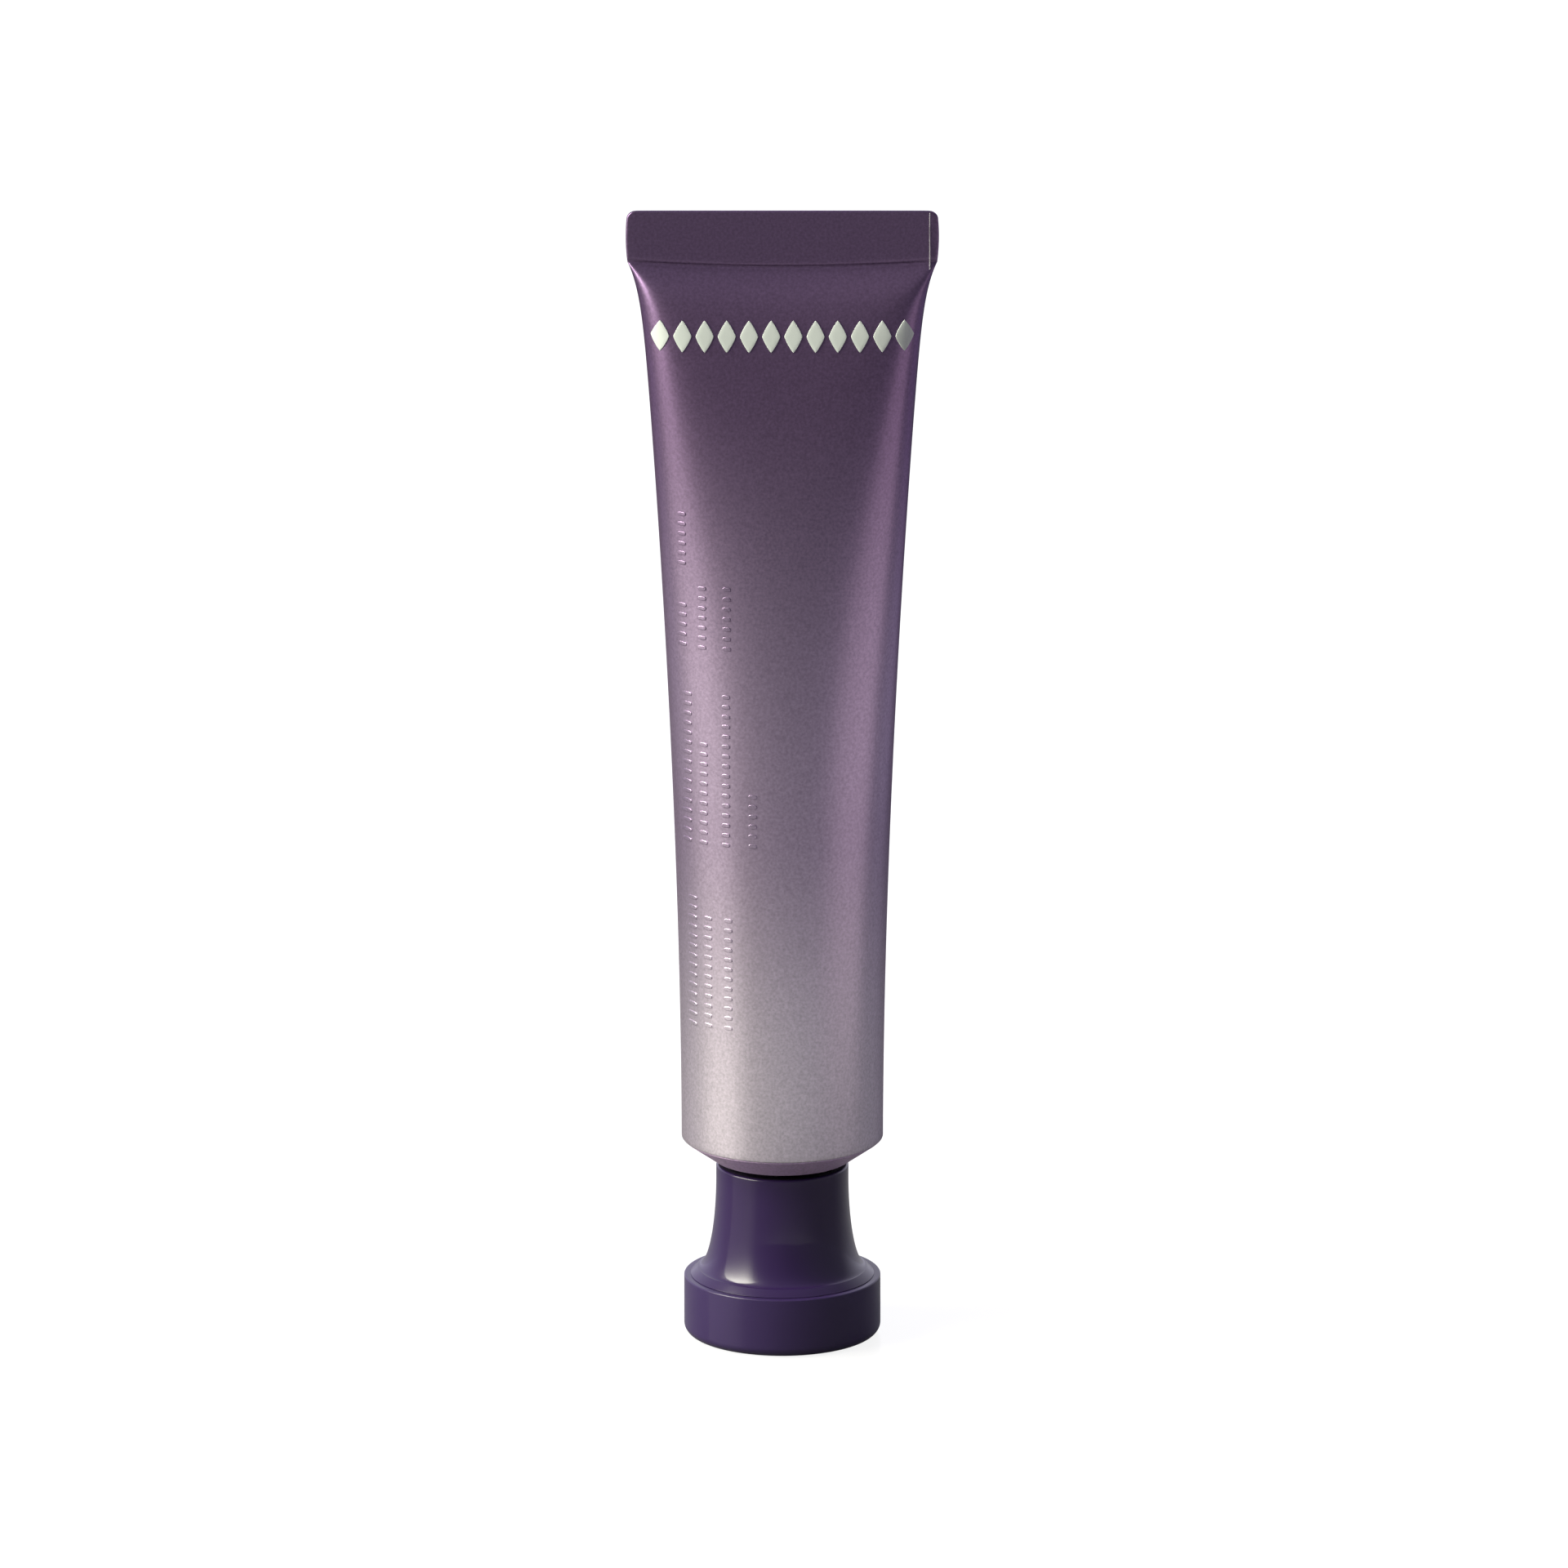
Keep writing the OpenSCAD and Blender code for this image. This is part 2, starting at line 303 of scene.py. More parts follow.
def lathe(profile, around):
    """Rings of a turned surface: each point of the profile goes round the Z axis at its own height."""
    turn = np.arange(around) * 2 * math.pi / around
    radius, height = profile[:, 0][:, None], profile[:, 1][:, None]
    flat = np.ones_like(turn)
    return np.stack([radius * np.cos(turn), radius * np.sin(turn), height * flat], axis=-1)


def smooth_step(x):
    """Zero below 0, one above 1, and between them three times the square less twice the cube."""
    x = np.clip(x, 0, 1)
    return x * x * (3 - 2 * x)


def thread_ridge(rings, low, high, sizes, phase, height):
    """Moves the rings' points outwards by a helical ridge between two heights.

    A point's distance along the axis from the helix, which rises by one pitch in each right-hand
    turn, gives the ridge: full at its crest, sloping to nothing at half its width. It runs out
    over the last millimetre at both ends. A height below zero moves the points inwards.
    """
    turn = np.arctan2(rings[..., 1], rings[..., 0]) / (2 * math.pi)
    pitch = sizes.thread_pitch
    along = rings[..., 2] - low - pitch * (turn + phase)
    off = np.abs((along / pitch + 0.5) % 1 - 0.5) * pitch
    ridge = smooth_step((sizes.thread_width / 2 - off) / (FLANK_SHARE * sizes.thread_width / 2))
    runout = smooth_step((rings[..., 2] - low) / MM) * smooth_step((high - rings[..., 2]) / MM)
    radius = np.hypot(rings[..., 0], rings[..., 1])
    scale = 1 + height * ridge * runout / radius
    rings = rings.copy()
    rings[..., :2] *= scale[..., None]
    return rings


# Shape of the sleeve

class SleeveShape:
    """The filled sleeve as a surface of the angle round it and the height."""

    def __init__(self, sizes):
        self.sizes = sizes
        self.top = SLEEVE_HIGH.z
        self.band_z = self.top - sizes.band_height
        self.band_half = SLEEVE_HIGH.x
        self.flat_half = math.pi * sizes.radius / 2
        self.low = sizes.edge_z

    def share(self, z):
        """Share of the way from the cut edge to the band."""
        return np.clip((z - self.low) / (self.band_z - self.low), 0, 1)

    def half_width(self, z):
        """Half the width: a slow power of the height, a quick exponential flare under the band's
        corners, and in the band a parabola with rounded upper corners."""
        s = self.sizes
        foot = self.band_half - s.band_bow
        body = (s.radius + (foot - s.radius - s.flare) * self.share(z) ** WIDTH_POWER
                + s.flare * np.exp(np.minimum(z - self.band_z, 0) / s.flare_reach))
        over = np.clip(z - (self.top - s.band_corner), 0, s.band_corner)
        corner = s.band_corner - np.sqrt(s.band_corner ** 2 - over ** 2)
        middle = 2 * (z - self.band_z) / s.band_height - 1
        band = self.band_half - s.band_bow * middle ** 2 - corner
        return np.where(z >= self.band_z, band, body)

    def half_depth(self, z):
        """Half the depth: that of an empty sleeve of the same girth, whose section is a slot, plus
        the belly of the cream. The walls meet at the band with an exponential."""
        s = self.sizes
        empty = (self.flat_half - self.half_width(np.minimum(z, self.band_z))) / (math.pi / 2 - 1)
        filled = empty + s.belly * np.sin(math.pi * self.share(z) ** BELLY_POWER)
        weld = s.band_thickness / 2
        open_share = 1 - np.exp(np.minimum(z - self.band_z, 0) / s.parting)
        return weld + open_share * (np.minimum(s.radius, filled) - weld)

    def points(self, turn, z):
        """Points at angles and heights that are arrays of one shape.

        Each section is a circle of the half depth whose halves are drawn apart sideways by a
        hyperbolic tangent: gently at the cap, which gives an ellipse, sharply at the band, which
        gives two flat walls with round sides. The crease under the band is a bell curve of the height.
        """
        c, s = np.cos(turn), np.sin(turn)
        flatness = FLATNESS_BELOW + FLATNESS_GAIN * self.share(z) ** FLATNESS_POWER
        across = np.tanh(flatness * c) / np.tanh(flatness)
        sag = self.sizes.band_sag * (1 - across ** 2)
        depth = self.half_depth(z + sag)
        depth = np.where(z > self.band_z, self.sizes.band_thickness / 2, depth)
        from_band = (z + sag - self.band_z) / self.sizes.crease_reach
        depth = depth - self.sizes.crease * np.exp(-from_band ** 2)
        side = np.minimum(self.half_depth(z), self.half_width(z))
        x = side * c + (self.half_width(z) - side) * across
        return np.stack([x, depth * s, z * np.ones_like(c)], axis=-1)

    def front(self, x, z):
        """Points and outward normals of the front wall at places given by width and height.

        The angle is found by halving an interval, because the width grows steadily with it, and
        the normal is the cross product of two small steps on the surface.
        """
        low, high = np.full_like(x, math.pi), np.full_like(x, 2 * math.pi)
        for _ in range(40):
            middle = (low + high) / 2
            left = self.points(middle, z)[..., 0] < x
            low, high = np.where(left, middle, low), np.where(left, high, middle)
        turn = (low + high) / 2
        step, rise = 1e-4, 0.02 * MM
        here = self.points(turn, z)
        normal = np.cross(self.points(turn + step, z) - here, self.points(turn, z + rise) - here)
        return here, normal / np.linalg.norm(normal, axis=-1)[..., None]


def head_inside(sleeve, head):
    """Radius and height of the head's inside, from its rim down to the mouth."""
    tip, rim_z = HEAD_LOW.z, HEAD_HIGH.z
    inner = sleeve.radius - sleeve.wall - head.wall
    slope = math.atan2(sleeve.edge_z - head.land_z, HEAD_HIGH.x - head.land_radius)
    rise = head.wall / math.cos(slope)
    return [
        (inner, rim_z),
        (inner, head.land_z + (inner - head.land_radius) * math.tan(slope) + rise),
        (head.land_radius - (rise - head.wall) / math.tan(slope), head.land_z + head.wall),
        (head.bore_radius, head.land_z + head.wall),
        (head.bore_radius, tip + head.lip),
        (head.orifice_radius, tip + head.lip),
        (head.orifice_radius, tip),
    ]


# Materials

# Sockets of a Map Range node, in the order in which spans are written here
RANGE_SOCKETS = ("From Min", "From Max", "To Min", "To Max")


def new_material(name):
    """An empty material with its Principled shader, and a function that adds nodes to it."""
    material = bpy.data.materials.new(name)
    material.use_nodes = True
    tree = material.node_tree
    shader = tree.nodes["Principled BSDF"]

    def node(kind, **values):
        made = tree.nodes.new(kind)
        for key, value in values.items():
            if key in made.inputs:
                made.inputs[key].default_value = value
            else:
                setattr(made, key, value)
        return made

    return material, tree.links.new, shader, node


def object_coordinates(node):
    """The piece's own coordinates, in metres."""
    return node("ShaderNodeTexCoord").outputs["Object"]


def add_grain(link, shader, node, scale, distance, strength):
    """Fine grain in the surface: noise of a given scale drives a bump."""
    noise = node("ShaderNodeTexNoise", Scale=scale, Detail=3.0, Roughness=0.6)
    link(object_coordinates(node), noise.inputs["Vector"])
    bump = node("ShaderNodeBump", Strength=strength, Distance=distance)
    link(noise.outputs["Fac"], bump.inputs["Height"])
    link(bump.outputs["Normal"], shader.inputs["Normal"])
    return noise


def pearl_material(name, colours, low, high, lift=1.0, roughness=0.38, metallic=0.9):
    """Satin pearl lacquer: metallic flakes, coloured by height from silvery lilac to dark violet.

    A colour ramp over the height gives the fade, and a fine noise lightens and darkens it a little
    as the flakes do. A dark tint keeps it from mirroring lamps like bare metal at a shallow angle.
    """
    material, link, shader, node = new_material(name)
    split = node("ShaderNodeSeparateXYZ")
    link(object_coordinates(node), split.inputs[0])
    height = node("ShaderNodeMapRange", **{"From Min": low, "From Max": high})
    link(split.outputs["Z"], height.inputs["Value"])
    ramp = node("ShaderNodeValToRGB")
    ramp.color_ramp.interpolation = "EASE"
    stops = ramp.color_ramp.elements
    stops[0].position, stops[0].color = 0.02, (*np.multiply(lift, colours.sleeve_foot), 1)
    stops[1].position, stops[1].color = 0.86, (*np.multiply(lift, colours.sleeve_top), 1)
    for place, stop in ((0.37, colours.sleeve_middle), (0.955, colours.sleeve_band)):
        stops.new(place).color = (*np.multiply(lift, stop), 1)
    link(height.outputs["Result"], ramp.inputs["Fac"])
    noise = add_grain(link, shader, node, 2600.0, 0.00005, 0.25)
    flakes = node("ShaderNodeMapRange", **{"From Min": 0.3, "From Max": 0.7,
                                           "To Min": 0.83, "To Max": 1.17})
    link(noise.outputs["Fac"], flakes.inputs["Value"])
    tint = node("ShaderNodeVectorMath", operation="SCALE")
    link(ramp.outputs["Color"], tint.inputs[0])
    link(flakes.outputs["Result"], tint.inputs["Scale"])
    link(tint.outputs["Vector"], shader.inputs["Base Color"])
    shader.inputs["Metallic"].default_value = metallic
    shader.inputs["Roughness"].default_value = roughness
    shader.inputs["Specular Tint"].default_value = (0.16, 0.14, 0.18, 1)
    shader.inputs["Coat Weight"].default_value = 0.12
    shader.inputs["Coat Roughness"].default_value = 0.25
    return material


def moulded_material(name, base, roughness, coat, grain=0.00002):
    """Moulded plastic: one colour with a faint cloudiness, a fine eggshell bump and a clear skin."""
    material, link, shader, node = new_material(name)
    cloud = node("ShaderNodeTexNoise", Scale=160.0, Detail=2.0)
    link(object_coordinates(node), cloud.inputs["Vector"])
    mix = node("ShaderNodeMix", data_type="RGBA")
    darker, lighter = [socket for socket in mix.inputs if socket.type == "RGBA"]
    darker.default_value = (*np.multiply(0.92, base), 1)
    lighter.default_value = (*np.multiply(1.08, base), 1)
    link(cloud.outputs["Fac"], mix.inputs["Factor"])
    mixed = [socket for socket in mix.outputs if socket.type == "RGBA"][0]
    link(mixed, shader.inputs["Base Color"])
    add_grain(link, shader, node, 3200.0, grain, 0.2)
    shader.inputs["Roughness"].default_value = roughness
    shader.inputs["Specular IOR Level"].default_value = 0.25
    shader.inputs["Coat Weight"].default_value = coat
    shader.inputs["Coat Roughness"].default_value = 0.04
    return material


def floor_material(base):
    """Floor: plain, and lightened for the camera's rays only, a little less round the tube, so that
    its shadow stays. Reflections see a soft pool of light in front of the tube.

    Both run smoothly from one strength to another between two distances from a point.
    """
    material, link, shader, node = new_material("pale_floor")
    shader.inputs["Base Color"].default_value = (*base, 1)
    shader.inputs["Roughness"].default_value = 0.14
    shader.inputs["Specular IOR Level"].default_value = 0.05
    shader.inputs["Emission Color"].default_value = (1, 1, 1, 1)
    path = node("ShaderNodeLightPath")
    reflected = node("ShaderNodeMath", operation="MAXIMUM")
    link(path.outputs["Is Glossy Ray"], reflected.inputs[0])
    link(path.outputs["Is Transmission Ray"], reflected.inputs[1])
    strength = node("ShaderNodeMath", operation="ADD")
    for index, (seen, middle, span) in enumerate((
            (path.outputs["Is Camera Ray"], (0, 0, 0), FLOOR_GLOW),
            (reflected.outputs[0], POOL_MIDDLE, FLOOR_POOL))):
        away = node("ShaderNodeVectorMath", operation="DISTANCE")
        link(object_coordinates(node), away.inputs[0])
        away.inputs[1].default_value = middle
        share = node("ShaderNodeMapRange", interpolation_type="SMOOTHSTEP",
                     **dict(zip(RANGE_SOCKETS, span)))
        link(away.outputs["Value"], share.inputs["Value"])
        part = node("ShaderNodeMath", operation="MULTIPLY")
        link(share.outputs["Result"], part.inputs[0])
        link(seen, part.inputs[1])
        link(part.outputs[0], strength.inputs[index])
    link(strength.outputs[0], shader.inputs["Emission Strength"])
    return material


# Pieces

class TUBE_OT_sleeve(Operator):
    """Laminate sleeve with its welded band"""
    bl_idname = "cream_tube.sleeve"
    bl_label = "Sleeve"

    def execute(self, context):
        settings = context.scene.cream_tube
        sizes, head = settings.sleeve, settings.head
        shape = SleeveShape(sizes)
        turn = np.arange(sizes.around) * 2 * math.pi / sizes.around

        # Rows grow closer together towards the band, and the band's corners have rows of their own
        rise = np.linspace(0, 1, sizes.rows, endpoint=False)
        start = shape.low + sizes.edge_round
        body = start + (shape.band_z - start) * (1 - (1 - rise) ** ROW_POWER)
        band = np.linspace(shape.band_z, shape.top - sizes.band_corner, BAND_ROWS, endpoint=False)
        corner = shape.top - sizes.band_corner * (1 - np.sin(np.linspace(0, math.pi / 2, CORNER_ROWS)))
        heights = np.concatenate([body, band, corner])
        outside = shape.points(*np.meshgrid(turn, heights))

        # The cut edge is a quarter round, and inside it the sleeve holds the head and the cream
        swing = np.linspace(0, math.pi / 2, EDGE_ROWS, endpoint=False)
        edge_radius = sizes.radius - sizes.edge_round * (1 - np.sin(swing))
        edge_height = shape.low + sizes.edge_round * (1 - np.cos(swing))
        recess = sizes.radius - sizes.wall
        inside = [*head_inside(sizes, head)[::-1], (recess, HEAD_HIGH.z), (recess, shape.low)]
        lower = np.concatenate([np.array(inside), np.stack([edge_radius, edge_height], axis=-1)])
        rings = np.concatenate([lathe(lower, sizes.around), outside])

        material = pearl_material("satin_pearl", settings.colours, shape.low, shape.top)
        piece = add_piece("sleeve", [ring_mesh(rings)], material, "tube", 50.0)
        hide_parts("tube_sleeve")
        return {"FINISHED"}


def plate(shape, x, z, half_x, half_z, rise, power, around, sink):
    """A small closed plate laid on the sleeve's front at a place.

    Its outline is drawn by the angle: the cosine and sine, each raised to a power, which is below
    one for a rounded rectangle and near two for a lozenge. Rings of that outline shrink to the
    middle, at a height that falls off as a quarter round at the rim, and one lies under the surface.
    """
    turn = np.arange(around) * 2 * math.pi / around
    u = np.sign(np.cos(turn)) * np.abs(np.cos(turn)) ** power * half_x
    v = np.sign(np.sin(turn)) * np.abs(np.sin(turn)) ** power * half_z
    edge = min(half_x, half_z)
    soft = min(0.6 * rise, 0.5 * edge)
    inset = np.array([0.0, 0.0, 0.15, 0.5, 1.0]) * soft
    inset = np.append(inset, [0.55 * edge, 0.9 * edge])
    height = np.array([-sink, rise - soft, rise - 0.45 * soft, rise - 0.1 * soft, rise, rise, rise])
    wide = (half_x - inset)[:, None] / half_x
    tall = (half_z - inset)[:, None] / half_z
    at, normal = shape.front(x + u * wide, z + v * tall)
    return ring_mesh(at + normal * height[:, None, None])


class TUBE_OT_lozenges(Operator):
    """Row of plain pale lozenges across the front, raised like thick screen print"""
    bl_idname = "cream_tube.lozenges"
    bl_label = "Lozenges"

    def execute(self, context):
        settings = context.scene.cream_tube
        sizes = settings.print_shapes
        shape = SleeveShape(settings.sleeve)
        half = sizes.row_half - sizes.lozenge_width / 2
        places = np.linspace(-half, half, sizes.lozenge_count)
        parts = [plate(shape, x, sizes.row_z, sizes.lozenge_width / 2, sizes.lozenge_height / 2,
                       sizes.rise, 1.7, 64, 0.05 * MM) for x in places]
        material = moulded_material("pale_print", settings.colours.lozenges, 0.45, 0.0)
        add_piece("front_lozenges", parts, material, "tube")
        return {"FINISHED"}


# Columns of small beads on the left: place across the front, and lowest and highest point, in mm
BEAD_COLUMNS = (
    (-13.9, (112.6, 119.6)), (-13.8, (101.0, 106.6)), (-11.1, (101.0, 110.0)), (-7.7, (101.2, 110.2)),
    (-13.1, (73.0, 94.0)), (-10.9, (73.2, 87.6)), (-7.8, (73.4, 94.4)), (-4.1, (73.6, 81.2)),
    (-12.4, (46.6, 65.8)), (-10.3, (47.0, 63.2)), (-7.5, (47.2, 63.8)),
)


class TUBE_OT_beads(Operator):
    """Columns of small plain beads, embossed in the sleeve's colour made a little lighter"""
    bl_idname = "cream_tube.beads"
    bl_label = "Embossed Beads"

    def execute(self, context):
        settings = context.scene.cream_tube
        sizes = settings.print_shapes
        shape = SleeveShape(settings.sleeve)
        parts = []
        for x, (low, high) in BEAD_COLUMNS:
            for z in np.arange(low * MM, high * MM, sizes.bead_pitch):
                parts.append(plate(shape, x * MM, z, sizes.bead_length / 2, sizes.bead_width / 2,
                                   sizes.bead_rise, 0.7, 16, 0.03 * MM))
        material = pearl_material("embossed_pearl", settings.colours, shape.low, shape.top, 1.12, 0.32)
        add_piece("embossed_beads", parts, material, "tube")
        return {"FINISHED"}


# Cut edge of the overlap: place across the band, width, reach below the band and gap at its top
OVERLAP_PLACE = 20.35 * MM
OVERLAP_WIDTH = 0.14 * MM
OVERLAP_BELOW = 0.9 * MM
OVERLAP_GAP = 0.15 * MM


class TUBE_OT_overlap_edge(Operator):
    """Cut edge of the laminate's overlap, a thin pale line down the band"""
    bl_idname = "cream_tube.overlap_edge"
    bl_label = "Overlap Edge"

    def execute(self, context):
        settings = context.scene.cream_tube
        shape = SleeveShape(settings.sleeve)
        low, high = shape.band_z - OVERLAP_BELOW, shape.top - OVERLAP_GAP
        line = plate(shape, OVERLAP_PLACE, (low + high) / 2, OVERLAP_WIDTH / 2, (high - low) / 2,
                     0.05 * MM, 0.2, 64, 0.03 * MM)
        material = moulded_material("cut_laminate", settings.colours.cut_edge, 0.5, 0.0)
        add_piece("overlap_edge", [line], material, "tube")
        return {"FINISHED"}


# How much of each of the sleeve's colours the shoulder has
SHOULDER_LIFT = (0.95, 0.78, 1.0)


class TUBE_OT_head(Operator):
    """Moulded shoulder and threaded neck"""
    bl_idname = "cream_tube.head"
    bl_label = "Head"

    def execute(self, context):
        settings = context.scene.cream_tube
        sleeve, head = settings.sleeve, settings.head
        core = head.neck_radius - head.thread_depth
        rim = sleeve.radius - sleeve.wall
        tip, land = HEAD_LOW.z, head.land_z
        outside = rounded_profile([
            (head.orifice_radius, tip, 0), (core, tip, RIM_ROUND), (core, land, EDGE_ROUND),
            (head.land_radius, land, 0.4 * MM), (HEAD_HIGH.x, sleeve.edge_z, 0.1 * MM),
            (rim, sleeve.edge_z, 0.05 * MM), (rim, HEAD_HIGH.z, 0)])
        neck_rows = np.linspace(tip + 0.5 * MM, land - 0.5 * MM, NECK_ROWS)
        neck = np.stack([np.full_like(neck_rows, core), neck_rows], axis=-1)
        on_neck = (np.abs(outside[:, 0] - core) < 0.01 * MM) & (outside[:, 1] > (tip + land) / 2)
        start = int(np.argmax(on_neck))
        inside = np.array(head_inside(sleeve, head))[:-1]
        rings = lathe(np.concatenate([outside[:start], neck, outside[start:], inside]),
                      settings.cap.around)
        cut = slice(start, start + len(neck))
        rings[cut] = thread_ridge(rings[cut], tip + THREAD_START, land - THREAD_STOP_LAND,
                                  head, 0.0, head.thread_depth)
        material = pearl_material("shoulder_pearl", settings.colours, sleeve.edge_z, SLEEVE_HIGH.z,
                                  SHOULDER_LIFT, 0.42, 0.4)
        surface = ring_mesh(rings, looped=True)
        piece = add_piece("head", [surface], material, "tube", 40.0)
        # Painted shade: the neck and the underside of the land get a near-black finish in place of the
        # shoulder's pearl, so that the gap under the shoulder reads dark
        neck_shade_material = moulded_material("neck_painted_shade", settings.colours.inside, 0.55, 0.0)
        paint_shade_inside(piece, neck_shade_material, head.land_radius - 0.35 * MM, tip - MM, land + 0.05 * MM)
        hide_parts("tube_head")
        return {"FINISHED"}


class TUBE_OT_cap_stem(Operator):
    """Flared stem of the cap with its threaded socket"""
    bl_idname = "cream_tube.cap_stem"
    bl_label = "Cap Stem"

    def execute(self, context):
        settings = context.scene.cream_tube
        cap, head = settings.cap, settings.head
        rim, liner = STEM_HIGH.z, LINER_LOW.z
        flare_z = rim - cap.straight
        skirt = BASE_HIGH.x - cap.base_wall - SKIRT_GAP
        base_z = BASE_HIGH.z

        # The flare is an upright quarter of an ellipse, from the straight part to the foot edge
        swing = np.linspace(math.pi / 2, 0, FLARE_ROWS)
        flare = np.stack([
            cap.stem_radius + (cap.foot_radius - cap.stem_radius) * (1 - np.cos(swing)),
            flare_z - (flare_z - cap.foot_z) * np.sin(swing)], axis=-1)
        lip_z = base_z + LIP_GAP
        foot = rounded_profile([
            (skirt, cap.base_floor, 0), (skirt, lip_z, 0), (skirt + cap.foot_lip, lip_z, 0.03 * MM),
            (cap.foot_radius, cap.foot_z, 0.08 * MM), tuple(flare[1]) + (0,)])[:-1]
        flare = flare[2:]
        inner = cap.stem_radius - cap.stem_wall
        ring = cap.socket_radius + cap.socket_wall
        mouth = rounded_profile([
            tuple(flare[-1]) + (0,), (cap.stem_radius, rim, RIM_ROUND), (inner, rim, FINE_ROUND),
            (inner, liner, EDGE_ROUND), (ring, liner, EDGE_ROUND),
            (ring, rim - cap.socket_recess, FINE_ROUND),
            (cap.socket_radius, rim - cap.socket_recess, FINE_ROUND),
            (cap.socket_radius, rim - cap.socket_recess - 0.5 * MM, 0)])
        socket_rows = np.linspace(rim - cap.socket_recess - 0.6 * MM, liner + 0.3 * MM, SOCKET_ROWS)
        socket = np.stack([np.full_like(socket_rows, cap.socket_radius), socket_rows], axis=-1)
        web_angle = math.asin((flare_z - (liner - cap.web)) / (flare_z - cap.foot_z))
        hollow_swing = np.linspace(web_angle, math.pi / 2, HOLLOW_ROWS)
        hollow = np.stack([
            inner + (cap.foot_radius - cap.stem_radius) * (1 - np.cos(hollow_swing)),
            flare_z - (flare_z - cap.foot_z) * np.sin(hollow_swing)], axis=-1)
        skirt_inner = skirt - cap.skirt_wall
        end = np.array([(skirt_inner, base_z), (skirt_inner, cap.base_floor), (skirt, cap.base_floor)])

        # From the middle of the web's underside, down inside, up outside and into the socket
        outside = np.concatenate([foot[1:], flare, mouth[1:]])
        start = np.array([(POLE_RADIUS, liner - cap.web)])
        bottom = np.array([(cap.socket_radius, liner), (POLE_RADIUS, liner)])
        before = np.concatenate([start, hollow, end, outside])
        rings = lathe(np.concatenate([before, socket, bottom]), cap.around)
        cut = slice(len(before), len(before) + len(socket))
        low, high = HEAD_LOW.z + THREAD_START, rim - cap.socket_recess - THREAD_STOP_RIM
        rings[cut] = thread_ridge(rings[cut], low, high, head, 0.5, -head.thread_depth)
        material = moulded_material("violet_moulding", settings.colours.stem, 0.30, 0.5)
        piece = add_piece("stem", [ring_mesh(rings)], material, "cap", 40.0)
        # Painted shade: the socket and the inner side of the mouth, in the cap's own dark violet, are
        # made near-black and without a clear skin, so that the gap over the cap reads dark
        socket_shade_material = moulded_material("socket_painted_shade", settings.colours.inside, 0.6, 0.0)
        within = cap.stem_radius - 0.3 * MM
        paint_shade_inside(piece, socket_shade_material, within, liner - 0.1 * MM, rim + MM)
        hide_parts("cap_stem")
        return {"FINISHED"}


class TUBE_OT_cap_base(Operator):
    """Cup that closes the cap below"""
    bl_idname = "cream_tube.cap_base"
    bl_label = "Cap Base"

    def execute(self, context):
        settings = context.scene.cream_tube
        cap = settings.cap
        radius, top = BASE_HIGH.x, BASE_HIGH.z
        bore = radius - cap.base_wall
        profile = rounded_profile([
            (POLE_RADIUS, cap.recess_depth, 0), (cap.recess_radius, cap.recess_depth, FINE_ROUND),
            (cap.recess_radius + cap.recess_depth, 0, FINE_ROUND), (radius, 0, cap.base_round),
            (radius, top, cap.base_edge), (bore, top, 0.12 * MM), (bore, cap.base_floor, 0.1 * MM),
            (POLE_RADIUS, cap.base_floor, 0)], 14)
        material = moulded_material("violet_base", settings.colours.base, 0.38, 0.4)
        surface = ring_mesh(lathe(profile, cap.around))
        piece = add_piece("base", [surface], material, "cap", 40.0)
        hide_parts("cap_base")
        return {"FINISHED"}


class TUBE_OT_small_parts(Operator):
    """Finish of the foil on the neck and of the wad in the cap"""
    bl_idname = "cream_tube.small_parts"
    bl_label = "Foil and Wad"

    def execute(self, context):
        colours = context.scene.cream_tube.colours
        foil = moulded_material("bright_foil", colours.foil, 0.25, 0.0, 0.00004)
        foil.node_tree.nodes["Principled BSDF"].inputs["Metallic"].default_value = 1.0
        wad = moulded_material("foam_wad", colours.wad, 0.75, 0.0, 0.0001)
        for name, material in (("nozzle_foil", foil), ("cap_liner", wad)):
            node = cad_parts[name]
            node.data.materials.clear()
            node.data.materials.append(material)
        return {"FINISHED"}


# Stage, lights and camera

CAMERA_DISTANCE = 5.0
CAMERA_ELEVATION = math.radians(15.9)
SENSOR = 36.0
VIEW_WIDTH = 0.2173
VIEW_CENTRE = Vector((0.00023, 0.0, 0.07903))

# Floor: its left, right, front and back edge
FLOOR_EDGES = (-0.28, 0.20, -0.42, 1.3)

# Near and far distance, and the strengths there, of the floor's glow and of its pool of light
FLOOR_GLOW = (0.02, 0.14, 0.865, 0.955)
FLOOR_POOL = (0.15, 0.29, 0.42, 0.042)
POOL_MIDDLE = (0.08, -0.35, 0.0)

# Lamps: name, place, point that it faces, width, height, power and tint, and then the light across
# it and up it, each as a start, an end and the shares of the light there
LAMPS = (
    ("left_soft_box", (-0.50, -0.285, 0.16), (0, -0.285, 0.16), 0.67, 1.02, 42.5, (1.0, 0.98, 0.84),
     (0.45, 0.9, 1.0, 0.03), (0.34, 0.82, 0.035, 1.0)),
    ("right_panel", (1.5, -0.85, -0.57), (0, -0.85, -0.57), 1.8, 0.94, 5.4, (1.0, 0.86, 0.86),
     (0.0, 0.3, 0.6, 1.0), (0.9, 1.0, 1.0, 0.8)),
)

# Room: its colour, its least strength, and for each axis the shares of the direction between which
# the strength rises, and the strength that it reaches
ROOM_COLOUR = (0.86, 0.84, 1.0, 1)
ROOM_LEAST = 0.18
ROOM_LIGHT = (("X", 0.2, 0.9, 0.32), ("Y", 0.05, 0.75, 0.95), ("Z", 0.2, 0.9, 0.34))


